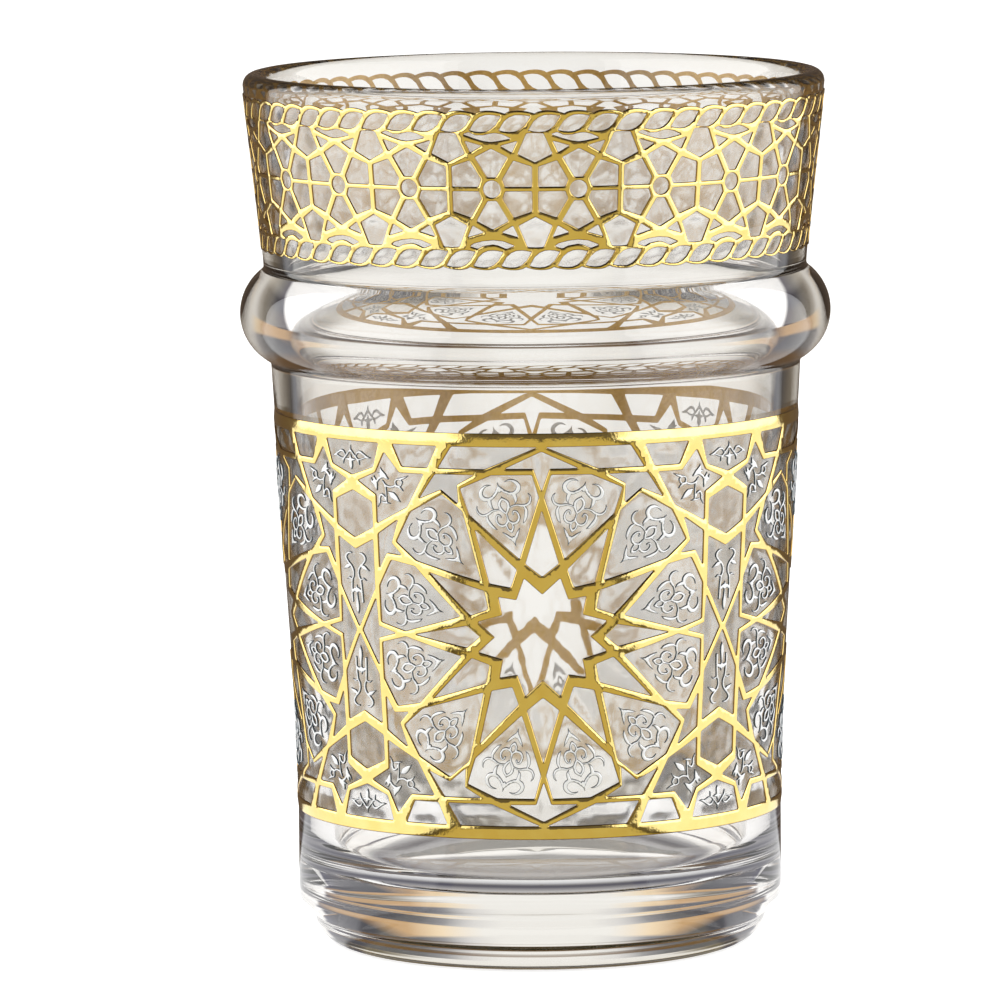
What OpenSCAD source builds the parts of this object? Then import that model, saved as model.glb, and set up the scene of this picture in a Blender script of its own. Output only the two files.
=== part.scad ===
// Moroccan tea glass: a pressed clear glass with a bead under its rim,
// fired gold strapwork in two bands, and white relief enamel in the stars.
// The glass stands on z = 0 with its axis on Z, and one star faces -Y.

/* [Glass] */
// Overall height of the glass
glass_h = 90; // [84:0.5:110]
// Outer width across the lip
rim_d = 59.6; // [58:0.1:64]
// Thickness of the wall, which is a full round at the lip
wall_t = 2.4; // [1.8:0.1:3.2]
// Height of the flared collar, from the top of the bead to the lip
collar_h = 20.2; // [18:0.1:25]
// Outer width of the collar where it meets the bead
collar_low_d = 55.6; // [54:0.1:57]
// Outer width across the bead
bead_d = 60.8; // [58.5:0.1:74]
// Height of the bead where it meets the walls
bead_h = 9.5; // [8:0.1:11]
// Outer width of the body where it meets the bead
shoulder_d = 54.4; // [53:0.1:56]
// Outer width of the body at the upper edge of the star band
band_top_d = 54.1; // [52:0.1:55.5]
// Outer width of the body at the lower edge of the star band
band_low_d = 48.6; // [46:0.1:53]
// Outer width of the body just above the foot rounding
foot_d = 46.8; // [42:0.1:48.5]
// Radius of the rounding at the foot
foot_round = 3.2; // [1:0.1:5]
// Thickness of the solid base above the table
floor_h = 7.6; // [5:0.1:11]
// Radius where the cavity's floor turns into its wall
floor_round = 4.5; // [1:0.1:6]
// Width of the shallow hollow under the base
punt_d = 32; // [20:0.5:38]
// Depth of the shallow hollow under the base
punt_depth = 1.2; // [0.4:0.1:2.5]

/* [Gold] */
// Thickness of the fired gold
gold_t = 0.2; // [0.1:0.05:0.5]
// Room between the gold or enamel and the glass
seat_gap = 0.05; // [0.02:0.01:0.1]
// Plain glass between the table and the star band
foot_margin = 14.05; // [10:0.05:18]
// Plain glass between the star band and the bead
shoulder_margin = 4.85; // [3:0.05:8]
// Width of the belts that edge the star band
belt_h = 1.4; // [0.8:0.1:2.5]
// Plain glass between the lip and the upper rope
rope_top_margin = 2; // [1.5:0.05:4]
// Plain glass between the bead and the lower rope
rope_low_margin = 2.25; // [1.5:0.05:4]
// Height of each rope border
rope_h = 2.25; // [1.6:0.05:3]
// Width of the gold left round each eye of the ropes
rope_line = 0.38; // [0.2:0.02:0.6]
// Stars round the glass
stars = 4; // [4:1:5]
// Repeats of the rim lattice round the glass
rim_repeats = 21; // [18:1:24]
// Rope strands to each repeat of the rim lattice
strands_per_repeat = 3; // [2:1:4]
// Angle of a rim lattice centre from the middle of the front star
rim_phase = 7.75; // [0:0.05:17]

/* [Enamel] */
// Thickness of the white relief enamel
enamel_t = 0.35; // [0.2:0.05:0.6]

/* [Hidden] */
$fn = 96;
cut_over = 1;
full_turn = 360;
half_turn = full_turn / 2;

// Heights that follow from the named sizes
bead_top_z = glass_h - collar_h;
bead_low_z = bead_top_z - bead_h;
band_top_z = bead_low_z - shoulder_margin;
band_low_z = foot_margin;
band_mid_z = (band_top_z + band_low_z) / 2;
net_half_h = (band_top_z - band_low_z) / 2 - belt_h;
lip_r = wall_t / 2;
lip_z = glass_h - lip_r;
lip_center_r = rim_d / 2 - lip_r;
rim_top_z = glass_h - rope_top_margin;
rim_low_z = bead_top_z + rope_low_margin;
rim_mid_z = (rim_top_z + rim_low_z) / 2;
rim_half_h = (rim_top_z - rim_low_z) / 2;
lattice_half_h = rim_half_h - rope_h;

// The outer wall as straight runs between these heights
wall_z = [foot_round, band_low_z, band_top_z, bead_low_z, bead_top_z, lip_z];
wall_r = [foot_d, band_low_d, band_top_d, shoulder_d, collar_low_d, rim_d] / 2;
function wall_at(z) = lookup(z, [for (i = [0 : len(wall_z) - 1]) [wall_z[i], wall_r[i]]]);

// The bead is a circle through both of its creases and its widest point
bead_mid_r = (shoulder_d + collar_low_d) / 4;
bead_rise = bead_d / 2 - bead_mid_r;
bead_r = (pow(bead_h / 2, 2) + pow(bead_rise, 2)) / (2 * bead_rise);
bead_z = (bead_top_z + bead_low_z) / 2;

// The punt is a shallow cap of this sphere
punt_r = (pow(punt_d / 2, 2) + pow(punt_depth, 2)) / (2 * punt_depth);

// Half of one star panel and half of one lattice repeat, as angles
star_half = half_turn / stars;
repeat_half = half_turn / rim_repeats;

// The star pattern is read on a quarter panel of 45 by 19.3 steps, from the
// star's centre to the middle of the link and to the inner edge of the belt.
star_grid_shares = [45, 19.3];

// Openings of the gold strapwork inside one quarter panel; those beside a belt
// run past the edge of the net, so that the belt closes them
quarter_shares = [
  [[2.1, 16.5], [0.65, 14.2], [4.9, 8], [15.8, 12.45], [17.7, 15.05], [10.8, 16.45]],
  [[5.6, 6.9], [14.6, 10.9], [11.6, 5.5], [6.95, 5.1]],
  [[13.6, 5.7], [28.4, 7.6], [33.3, 9.4], [29.5, 12.5], [21.95, 14.4], [17.4, 12.75]],
  [[12.9, 4.7], [25.3, 6.4], [16.05, 2.2], [12.1, 2.85]],
  [[18.5, 2.05], [31.9, 0.3], [38.3, 1.05], [38.3, 4.75], [34.85, 7.45], [28.9, 6.95]],
  [[32.8, 11.6], [34.65, 9.2], [32.2, 8.05], [36, 8.2], [38.1, 6.6], [38.1, 10.05]],
  [
    [26.1, 16.4], [30.3, 13], [38.2, 11.15], [38.2, 14.05],
    [43.2, 15.35], [38.2, 16.3], [35.7, 18.4], [32, 16.4]
  ],
  [[0.9, 19.5], [12.2, 17.1], [22.6, 17.1], [19.2, 19.5]],
  [[14.6, 16.45], [18.5, 15.45], [18.3, 13.55], [22.1, 14.95], [27.2, 13.95], [23.4, 16.45]],
  [[22.7, 19.5], [25.1, 17.1], [31.2, 17.1], [33.6, 19.5]]
];
// Openings that cross the star's upright axis: right half only, top to bottom
upright_shares = [
  [[0, 18.85], [7.8, 17.15], [1.7, 17.15], [0, 14.9]],
  [[0, 12.85], [3.6, 7.5], [0, 6.2]]
];
// Openings that cross the middle of the link: left half only, top to bottom
link_shares = [
  [[45, 19.5], [37.1, 19.5], [38.85, 16.85], [45, 15.9]],
  [[45, 14.3], [39.6, 13.25], [39.6, 10.65], [45, 9.5]],
  [[45, 8.25], [39.7, 9.4], [39.8, 4.4], [45, 0.35]]
];
// Openings that cross the belt's level axis: upper half only, left to right
level_shares = [
  [[14.15, 0], [17, 1.1], [29.3, 0]],
  [[34.6, 0], [39.3, 0.6], [39.6, 3.4], [44, 0]]
];
// The clear star in the middle: upper right quarter only, top to right
eye_shares = [[0, 4.35], [3.97, 6], [5.7, 3.8], [9.67, 4.1], [8.85, 2.25], [14.4, 1.53], [10.6, 0]];

// The rim lattice is read on half a repeat of 8.57 by 5.7 steps, with the ring
// of each centre as a radius in steps of its height
lattice_grid_shares = [8.57, 5.7];
lattice_ring_share = 0.85;
lattice_quarter_shares = [
  [[2.5, 0.13], [8.1, 0.13], [8.1, 2.3], [4.3, 2.95], [1.95, 0.95]],
  [[1.75, 4.35], [4.1, 3.65], [5.2, 4.85]]
];
lattice_upright_shares = [
  [[0, 4.15], [3.4, 3.25], [0.9, 1.12], [0, 1.12]],
  [[0, 5.4], [4.5, 5.4], [0, 4.75]]
];
lattice_edge_shares = [[[8.57, 5.4], [6.9, 5.35], [5.1, 3.4], [8.57, 2.6]]];

// The rope eyes are set off from the lattice centres by this share of their pitch
rope_shift_share = -0.184;
// An eye of the rope leans this much of its own half length
eye_lean_share = 0.375;
// An eye's half length as a share of one strand's pitch
eye_length_share = 0.52;
// How full each eye is along its length, from one tip to the other
eye_fill_shares = [0, 0.55, 0.85, 1, 0.85, 0.55, 0];

// Figures are drawn upright in steps of the star grid's height, and one such
// step is this many steps across
step_ratio_share = 2.2;

// Where each petal's figure lies along the petal's middle line
petal_seat_share = 0.58;
petal_axis_shares = [
  [[4.9, 8], [10.8, 16.45]],
  [[13.6, 5.7], [29.5, 12.5]],
  [[18.5, 2.05], [38.3, 4.75]]
];
// Hooks of a petal's figure: middle, radius, line width, first and last angle
petal_hook_shares = [
  [1.25, 2.1, 0.75, 0.55, -120, 100],
  [1.85, 0.6, 0.55, 0.45, 150, 380]
];
petal_leaf_shares = [[0, 2.5], [0.5, 1.7], [1.45, 0.7], [0.75, -0.3], [1.1, -1.3], [0.55, -2.1], [0, -3.4]];

// The figure in the star-shaped cells beside each hexagon
star_cell_seat_shares = [34.1, 14.95, -7];
cross_leaf_shares = [[-0.2, -0.2], [0.1, 0.6], [0.5, 1.4], [1.15, 1.5], [0.95, 0.4]];

// The vines above and below the crossing in the middle of the link
vine_seat_shares = [45, 4.6, 0];
vine_stem_shares = [
  [0.35, -0.9], [0.8, -1.5], [0.75, 0.2], [1.5, 0.8], [0.85, 1.3],
  [1.35, 2.6], [0.6, 2.9], [0.35, 1.5], [0.3, 0.1]
];
vine_leaf_shares = [[0, 0.2], [0.45, -0.6], [0.35, -1.6], [0, -2.8]];

// The trefoil between the belt and the middle of the link
trefoil_seat_shares = [45, 17.6, 0];
trefoil_leaf_shares = [[0, 1], [0.45, 0.3], [0.75, -0.3], [0.3, -0.5], [0, -1.1]];
trefoil_wing_shares = [[0.4, 0.1], [1.35, 0.65], [2.3, 0.3], [1.4, -0.3]];

function mirror_x(points) = [for (i = [len(points) - 1 : -1 : 0]) [-points[i][0], points[i][1]]];
function mirror_y(points) = [for (i = [len(points) - 1 : -1 : 0]) [points[i][0], -points[i][1]]];
function mirror_far(points, far) = [
  for (i = [len(points) - 1 : -1 : 0]) [2 * far - points[i][0], points[i][1]]
];
function middle(values) = (min(values) + max(values)) / 2;
// Grid steps to an angle from the panel's axis and a height on the wall
function on_star_band(points) = [
  for (p = points) [
    p[0] * star_half / star_grid_shares[0],
    band_mid_z + p[1] * net_half_h / star_grid_shares[1]
  ]
];
function on_rim_band(points) = [
  for (p = points) [
    p[0] * repeat_half / lattice_grid_shares[0],
    rim_mid_z + p[1] * lattice_half_h / lattice_grid_shares[1]
  ]
];

// A figure's points turned clockwise by its tilt and moved to its place
function placed(points, place) = [
  for (p = points) [
    place[0] + (p[0] * cos(place[2]) + p[1] * sin(place[2])) * step_ratio_share,
    place[1] + p[1] * cos(place[2]) - p[0] * sin(place[2])
  ]
];
// The same place in all four quarters of a panel, for a figure with a middle line
function four_places(place) = [
  for (side = [-1, 1], level = [-1, 1])
    [side * place[0], level * place[1], side * (level > 0 ? place[2] : half_turn - place[2])]
];
function both_levels(place) = [place, [place[0], -place[1], half_turn]];
function whole_outline(points) = concat(points, mirror_x(points));
function both_sides(outline) = [outline, mirror_x(outline)];

// A hooked stroke that follows part of a circle and thins towards its tip
function hook(shares) =
  let (
    steps = 4,
    turns = [for (i = [0 : steps]) shares[4] + (shares[5] - shares[4]) * i / steps],
    halves = [for (i = [0 : steps]) shares[3] * (1 - i / (2 * steps)) / 2],
    center = [shares[0], shares[1]]
  )
  concat(
    [for (i = [0 : steps]) center + (shares[2] + halves[i]) * [cos(turns[i]), sin(turns[i])]],
    [for (i = [steps : -1 : 0]) center + (shares[2] - halves[i]) * [cos(turns[i]), sin(turns[i])]]
  );

petal_places = [
  for (axis = petal_axis_shares)
    let (
      run = axis[1] - axis[0],
      seat = axis[0] + run * petal_seat_share,
      tilt = atan2(run[0] / step_ratio_share, run[1])
    )
    each four_places([seat[0], seat[1], tilt])
];
petal_outlines = concat(
  both_sides(hook(petal_hook_shares[0])),
  both_sides(hook(petal_hook_shares[1])),
  [whole_outline(petal_leaf_shares)]
);
star_cell_places = four_places(star_cell_seat_shares);
cross_outlines = [for (quarter = [0 : 3]) turned(cross_leaf_shares, quarter * full_turn / 4)];
function turned(points, turn) = [
  for (p = points) [p[0] * cos(turn) - p[1] * sin(turn), p[0] * sin(turn) + p[1] * cos(turn)]
];
vine_places = both_levels(vine_seat_shares);
vine_outlines = concat(both_sides(vine_stem_shares), [whole_outline(vine_leaf_shares)]);
trefoil_places = both_levels(trefoil_seat_shares);
trefoil_outlines = concat(both_sides(trefoil_wing_shares), [whole_outline(trefoil_leaf_shares)]);

// A ring that hugs the wall between two heights
module wall_ring(low_z, top_z, thickness) {
  inner = seat_gap;
  outer = seat_gap + thickness;
  rotate_extrude()
    polygon([
      [wall_at(low_z) + inner, low_z],
      [wall_at(low_z) + outer, low_z],
      [wall_at(top_z) + outer, top_z],
      [wall_at(top_z) + inner, top_z]
    ]);
}

// A prism that cuts an opening of the gold, square to the wall at its middle
module opening_cut(points) {
  middle_turn = middle([for (p = points) p[0]]);
  half_span = max([for (p = points) p[0]]) - middle_turn;
  top_r = max([for (p = points) wall_at(p[1])]);
  low_r = min([for (p = points) wall_at(p[1])]);
  depth_r = low_r * cos(half_span) - gold_t;
  rotate([0, 0, middle_turn])
    rotate([half_turn / 2, 0, 0])
      translate([0, 0, depth_r])
        linear_extrude(height = top_r + cut_over - depth_r)
          polygon([for (p = points) [(wall_at(p[1]) + seat_gap) * sin(p[0] - middle_turn), p[1]]]);
}

// An opening and its image in the level line at mid_z
module above_and_below(points, mid_z) {
  opening_cut(points);
  opening_cut([for (i = [len(points) - 1 : -1 : 0]) [points[i][0], 2 * mid_z - points[i][1]]]);
}

// All the openings of one star panel and the link on its right
module star_panel_cuts() {
  for (cell = quarter_shares, side = both_sides(cell)) {
    above_and_below(on_star_band(side), band_mid_z);
  }
  for (cell = upright_shares) {
    above_and_below(on_star_band(whole_outline(cell)), band_mid_z);
  }
  for (cell = link_shares) {
    above_and_below(on_star_band(concat(cell, mirror_far(cell, star_grid_shares[0]))), band_mid_z);
  }
  for (cell = level_shares, side = both_sides(concat(cell, mirror_y(cell)))) {
    opening_cut(on_star_band(side));
  }
  eye_top = concat(mirror_x(eye_shares), eye_shares);
  opening_cut(on_star_band(concat(eye_top, mirror_y(eye_top))));
}

// All the openings of one repeat of the rim lattice
module lattice_cuts() {
  for (cell = lattice_quarter_shares, side = both_sides(cell)) {
    above_and_below(on_rim_band(side), rim_mid_z);
  }
  for (cell = lattice_upright_shares) {
    above_and_below(on_rim_band(whole_outline(cell)), rim_mid_z);
  }
  for (cell = lattice_edge_shares) {
    above_and_below(on_rim_band(concat(cell, mirror_far(cell, lattice_grid_shares[0]))), rim_mid_z);
  }
  ring_r = lattice_ring_share * lattice_half_h / lattice_grid_shares[1];
  rotate([half_turn / 2, 0, 0])
    translate([0, rim_mid_z, wall_at(rim_mid_z) - cut_over])
      cylinder(r = ring_r, h = 2 * cut_over);
}

// One leaning eye of a rope, pointed at both ends
module rope_eye(mid_z) {
  pitch = full_turn / (rim_repeats * strands_per_repeat);
  half_length = pitch * eye_length_share;
  half_h = rope_h / 2 - rope_line;
  steps = len(eye_fill_shares) - 1;
  function eye_point(i, side) =
    let (
      along = 2 * i / steps - 1,
      rise = eye_lean_share * along + side * (1 - eye_lean_share) * eye_fill_shares[i]
    )
    [along * half_length, mid_z + half_h * rise];
  opening_cut(concat(
    [for (i = [0 : steps]) eye_point(i, 1)],
    [for (i = [steps - 1 : -1 : 1]) eye_point(i, -1)]
  ));
}

module rope(low_z) {
  pitch = full_turn / (rim_repeats * strands_per_repeat);
  color("goldenrod")
    difference() {
      wall_ring(low_z, low_z + rope_h, gold_t);
      for (strand = [1 : rim_repeats * strands_per_repeat]) {
        rotate([0, 0, rim_phase + (strand + rope_shift_share) * pitch])
          rope_eye(low_z + rope_h / 2);
      }
    }
}

module glass_cup() {
  foot_center_r = foot_d / 2 - foot_round;
  corner_z = floor_h + floor_round;
  corner_wall_r = wall_at(corner_z) - wall_t;
  color("azure", 0.4)
    rotate_extrude()
      difference() {
        union() {
          polygon(concat(
            [[0, 0], [foot_center_r, 0]],
            [for (i = [0 : len(wall_z) - 1]) [wall_r[i], wall_z[i]]],
            [[0, lip_z]]
          ));
          translate([foot_center_r, foot_round])
            circle(r = foot_round);
          intersection() {
            translate([bead_d / 2 - bead_r, bead_z])
              circle(r = bead_r);
            translate([0, bead_z - bead_r])
              square([bead_d, 2 * bead_r]);
          }
          translate([lip_center_r, lip_z])
            circle(r = lip_r);
        }
        polygon(concat(
          [[0, floor_h], [corner_wall_r - floor_round, floor_h], [corner_wall_r, corner_z]],
          [for (i = [0 : len(wall_z) - 1]) if (wall_z[i] > corner_z) [wall_r[i] - wall_t, wall_z[i]]],
          [[0, lip_z]]
        ));
        translate([corner_wall_r - floor_round, corner_z])
          circle(r = floor_round);
        intersection() {
          translate([0, punt_depth - punt_r])
            circle(r = punt_r);
          translate([0, -cut_over])
            square([punt_d, punt_depth + 2 * cut_over]);
        }
      }
}

module rim_rope_upper() {
  rope(rim_top_z - rope_h);
}

module rim_rope_lower() {
  rope(rim_low_z);
}

module rim_lattice() {
  color("goldenrod")
    difference() {
      wall_ring(rim_low_z + rope_h, rim_top_z - rope_h, gold_t);
      for (repeat = [1 : rim_repeats]) {
        rotate([0, 0, rim_phase + 2 * repeat * repeat_half])
          lattice_cuts();
      }
    }
}

module body_belt_upper() {
  color("goldenrod")
    wall_ring(band_top_z - belt_h, band_top_z, gold_t);
}

module body_belt_lower() {
  color("goldenrod")
    wall_ring(band_low_z, band_low_z + belt_h, gold_t);
}

module star_strapwork() {
  color("goldenrod")
    difference() {
      wall_ring(band_low_z + belt_h, band_top_z - belt_h, gold_t);
      for (star = [1 : stars]) {
        rotate([0, 0, 2 * star * star_half])
          star_panel_cuts();
      }
    }
}

// White figures cut from a ring of enamel that hugs the star band
module enamel_figures(places, outlines) {
  color("white")
    intersection() {
      wall_ring(band_low_z + belt_h, band_top_z - belt_h, enamel_t);
      for (star = [1 : stars], place = places) {
        rotate([0, 0, 2 * star * star_half])
          laid_figure(place, outlines);
      }
    }
}

// One figure as a prism square to the wall; a place is [steps across, steps up, tilt]
module laid_figure(place, outlines) {
  laid = [for (outline = outlines) on_star_band(placed(outline, place))];
  heights = [for (outline = laid, p = outline) p[1]];
  turns = [for (outline = laid, p = outline) p[0]];
  middle_turn = middle(turns);
  depth_r = wall_at(min(heights)) * cos(max(turns) - middle_turn) - enamel_t;
  high_r = wall_at(max(heights)) + cut_over;
  rotate([0, 0, middle_turn])
    rotate([half_turn / 2, 0, 0])
      translate([0, 0, depth_r])
        linear_extrude(height = high_r - depth_r)
          for (outline = laid) {
            polygon([for (p = outline) [wall_at(p[1]) * sin(p[0] - middle_turn), p[1]]]);
          }
}

module petal_arabesques() {
  enamel_figures(petal_places, petal_outlines);
}

module star_cell_arabesques() {
  enamel_figures(star_cell_places, cross_outlines);
}

module vine_motifs() {
  enamel_figures(vine_places, vine_outlines);
}

module trefoil_motifs() {
  enamel_figures(trefoil_places, trefoil_outlines);
}

glass_cup();
rim_rope_upper();
rim_rope_lower();
rim_lattice();
body_belt_upper();
body_belt_lower();
star_strapwork();
petal_arabesques();
star_cell_arabesques();
vine_motifs();
trefoil_motifs();
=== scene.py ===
import bpy
import numpy as np
from mathutils import Matrix, Vector
from mathutils.geometry import delaunay_2d_cdt


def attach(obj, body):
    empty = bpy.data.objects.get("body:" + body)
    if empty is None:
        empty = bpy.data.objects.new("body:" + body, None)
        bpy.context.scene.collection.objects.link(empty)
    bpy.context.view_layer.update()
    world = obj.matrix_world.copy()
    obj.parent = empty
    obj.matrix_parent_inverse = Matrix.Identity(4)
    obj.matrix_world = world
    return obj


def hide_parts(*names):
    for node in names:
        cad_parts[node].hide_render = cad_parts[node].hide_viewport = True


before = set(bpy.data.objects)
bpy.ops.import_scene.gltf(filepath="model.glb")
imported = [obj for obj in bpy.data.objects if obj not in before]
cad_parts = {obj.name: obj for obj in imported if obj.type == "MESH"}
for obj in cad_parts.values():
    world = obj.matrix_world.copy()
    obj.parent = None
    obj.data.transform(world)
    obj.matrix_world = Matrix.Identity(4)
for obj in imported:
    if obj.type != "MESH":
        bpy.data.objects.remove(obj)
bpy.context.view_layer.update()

# The glass is in mm and degrees. The table, the lamps and the room round it are in metres.
MM = 0.001


# The cup is one piece of clear soda-lime glass, pressed in a mould: a thick
# base, a wall that widens in a long soft curve, a round bead under the collar
# and a lip melted round by fire polishing.

glass_h = 90.0
wall_t = 2.4
wall_curve = np.array([
    [0, 23.15], [14, 24.28], [28, 25.4], [42, 26.3], [56, 27.03], [70, 27.9], [89, 29.88]
])
bead_r = 5.43
bead_centre = (24.97, 65.3)
crease_soft = 0.22
foot_r = 3.2
foot_centre = 20.2
punt_r = 16.0
punt_depth = 1.2
floor_h = 7.6
floor_r = 4.5
turn_steps = 400
foot_rows = 8
band_rows = (14.35, 55.15, 69)
neck_rows = (56, 59, 4)
bead_rows = (59.5, 71.2, 38)
collar_start = 71.9
collar_end = 0.6
collar_rows = 36


def curve_between(t, start, end, start_slope, end_slope):
    """A cubic Hermite curve: goes from start to end as t goes from 0 to 1, with the given
    slope at each end."""
    return (
        (1 + 2 * t) * (1 - t) ** 2 * start
        + t * (1 - t) ** 2 * start_slope
        + t**2 * (3 - 2 * t) * end
        + t**2 * (t - 1) * end_slope
    )


def plain_wall(z):
    """Radius of the wall without its bead: a cubic Hermite curve through wall_curve,
    whose slope at each point is the mean slope of the runs beside it."""
    heights, radii = wall_curve.T
    slopes = np.gradient(radii, heights)
    i = np.clip(np.searchsorted(heights, z, side="right") - 1, 0, len(heights) - 2)
    run = heights[i + 1] - heights[i]
    t = (z - heights[i]) / run
    return curve_between(t, radii[i], radii[i + 1], run * slopes[i], run * slopes[i + 1])


def outer_wall(z):
    """Outer radius: the smooth maximum of the plain wall and the bead's circle, which is
    half their sum plus half the root of their squared difference and the crease's square."""
    plain = plain_wall(z)
    bead = bead_centre[0] + np.sqrt(np.maximum(bead_r**2 - (z - bead_centre[1]) ** 2, 0))
    return (plain + bead + np.sqrt((plain - bead) ** 2 + crease_soft**2)) / 2


def arc(centre, radius, first, last, steps):
    """Points of a circle's arc as (radius, height), with its angles in degrees from +r."""
    angle = np.radians(np.linspace(first, last, steps))
    return np.stack([centre[0] + radius * np.cos(angle), centre[1] + radius * np.sin(angle)], 1)


def cup_profile():
    """The closed half section from the middle of the punt, out and up the outside, over the
    lip and down the inside to the middle of the floor."""
    lip_r = wall_t / 2
    lip_z = glass_h - lip_r
    lip_centre = float(plain_wall(np.array(lip_z))) - lip_r
    punt = np.linspace(0, punt_r, 10)
    punt = np.stack([punt, punt_depth * (1 - (punt / punt_r) ** 2)], 1)
    foot = arc((foot_centre, foot_r), foot_r, -90, 0, 12)
    z = np.concatenate([
        np.linspace(foot_r, band_rows[0], foot_rows)[1:-1],
        np.linspace(*band_rows), np.linspace(*neck_rows), np.linspace(*bead_rows),
        np.linspace(collar_start, lip_z - collar_end, collar_rows),
    ])
    outside = np.stack([outer_wall(z), z], 1)
    lip = arc((lip_centre, lip_z), lip_r, 0, 180, 14)
    corner_z = floor_h + floor_r
    down = np.linspace(lip_z, corner_z, 26)[1:-1]
    inside = np.stack([plain_wall(down) - wall_t, down], 1)
    corner_r = float(plain_wall(np.array(corner_z))) - wall_t
    corner = arc((corner_r - floor_r, corner_z), floor_r, 0, -90, 10)
    floor = np.linspace(corner[-1, 0], 0, 8)[1:]
    floor = np.stack([floor, np.full_like(floor, floor_h)], 1)
    return np.vstack([punt, foot, outside, lip, inside, corner, floor])


def revolve(profile, steps, wave=None):
    """Turns a section round Z: ring i, step j is the point at radius and height i, turned by
    j parts of a full turn. wave adds to the radius. Ends on the axis are single points."""
    radius, height = profile[1:-1].T
    turn = np.arange(steps) * 2 * np.pi / steps
    radius = np.repeat(radius[:, None], steps, 1)
    if wave is not None:
        radius = radius + wave(turn[None, :], height[:, None])
    rings = np.stack([
        radius * np.sin(turn), -radius * np.cos(turn), np.repeat(height[:, None], steps, 1)
    ], 2).reshape(-1, 3)
    count = len(height)
    i, j = np.meshgrid(np.arange(count - 1), np.arange(steps), indexing="ij")
    next_j = (j + 1) % steps
    near, far = i * steps, (i + 1) * steps
    quads = np.stack([near + j, near + next_j, far + next_j, far + j], 2)
    low, high = count * steps, count * steps + 1
    around = np.arange(steps)
    beside = (around + 1) % steps
    last = (count - 1) * steps
    fans = [
        np.stack([np.full(steps, low), beside, around], 1),
        np.stack([np.full(steps, high), last + around, last + beside], 1),
    ]
    points = np.vstack([rings, [[0, 0, profile[0, 1]], [0, 0, profile[-1, 1]]]])
    return points, quads.reshape(-1, 4).tolist() + np.vstack(fans).tolist()


def add_piece(name, points, faces, material, slot, *nodes):
    """Makes a smooth mesh from points in mm and rides it on the cup, in place of its CAD nodes."""
    mesh = bpy.data.meshes.new(name)
    mesh.from_pydata((points * MM).tolist(), [], faces)
    mesh.shade_smooth()
    mesh.materials.append(material)
    piece = bpy.data.objects.new(name, mesh)
    bpy.context.scene.collection.objects.link(piece)
    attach(piece, "root")
    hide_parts(*nodes)
    return piece


def linear(colour):
    """An sRGB hex colour as linear RGBA, each channel taken through the sRGB curve."""
    srgb = np.array([int(colour[i : i + 2], 16) for i in (1, 3, 5)]) / 255
    rgb = np.where(srgb <= 0.04045, srgb / 12.92, ((srgb + 0.055) / 1.055) ** 2.4)
    return (*rgb.tolist(), 1.0)


def add_node(tree, kind, inputs=None, stops=(), **settings):
    """Adds a node: settings go on the node, inputs are values, or sockets to link, and stops
    are the places and hex colours of its colour ramp."""
    node = tree.nodes.new(kind)
    for key, value in settings.items():
        setattr(node, key, value)
    if stops:
        ramp = node.color_ramp.elements
        ramp.remove(ramp[-1])
        ramp[0].position, ramp[0].color = stops[0][0], linear(stops[0][1])
        for place, colour in stops[1:]:
            ramp.new(place).color = linear(colour)
    for key, value in (inputs or {}).items():
        if isinstance(value, bpy.types.NodeSocket):
            tree.links.new(value, node.inputs[key])
        else:
            node.inputs[key].default_value = value
    return node


def new_material(name):
    """An empty node material and its output node."""
    material = bpy.data.materials.new(name)
    material.use_nodes = True
    material.node_tree.nodes.clear()
    return material, material.node_tree, material.node_tree.nodes.new("ShaderNodeOutputMaterial")


# The mould presses two bands of shallow pillows into the wall, parted by level lands on
# which the gold is painted. The lands are what these openings leave.

band_mid_z = 34.75
band_half_h = 20.7
belt_edge = 19.3
mid_r = 25.8
degree = np.pi * mid_r / 180


def turned_left(outline):
    """A closed outline without doubled points, in the order that has its inside on the left:
    twice its area, the sum of the cross products of its neighbours, is positive."""
    outline = np.asarray(outline, float)
    outline = outline[np.hypot(*(outline - np.roll(outline, 1, 0)).T) > 1e-6]
    x, y = outline.T
    return outline if np.sum(x * np.roll(y, -1) - np.roll(x, -1) * y) > 0 else outline[::-1]


def outward(outline):
    """The unit normals of a closed outline that has its inside on the left, at its points:
    the run from the point before to the point after, turned right."""
    run = np.roll(outline, -1, 0) - np.roll(outline, 1, 0)
    return np.stack([run[:, 1], -run[:, 0]], 1) / np.maximum(np.hypot(*run.T), 1e-6)[:, None]


def soft_outline(corners, soft, step):
    """A closed outline in mm: each corner is a quadratic curve that starts and ends on its
    two sides, soft away from it or at most 0.35 of the shorter side, and what is left of each
    side is split evenly into an even number of steps."""
    corners = turned_left(corners)
    before, after = np.roll(corners, 1, 0) - corners, np.roll(corners, -1, 0) - corners
    shorter = np.minimum(np.hypot(*before.T), np.hypot(*after.T))
    reach = np.minimum(soft, 0.35 * shorter)[:, None]
    start = corners + before / np.hypot(*before.T)[:, None] * reach
    end = corners + after / np.hypot(*after.T)[:, None] * reach
    t = np.linspace(0, 1, 5)[None, :, None]
    bends = (1 - t) ** 2 * start[:, None] + 2 * t * (1 - t) * corners[:, None] + t**2 * end[:, None]
    side = np.roll(start, -1, 0) - end
    count = 2 * np.maximum(1, np.round(np.hypot(*side.T) / step / 2)).astype(int)
    runs = [e + s * np.arange(1, n)[:, None] / n for e, s, n in zip(end, side, count)]
    return np.vstack([np.vstack([bend, run]) for bend, run in zip(bends, runs)])


def sides_of(outlines):
    """The start and the run of every side of some closed outlines."""
    first = np.vstack(outlines)
    return first, np.vstack([np.roll(o, -1, 0) for o in outlines]) - first


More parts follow.
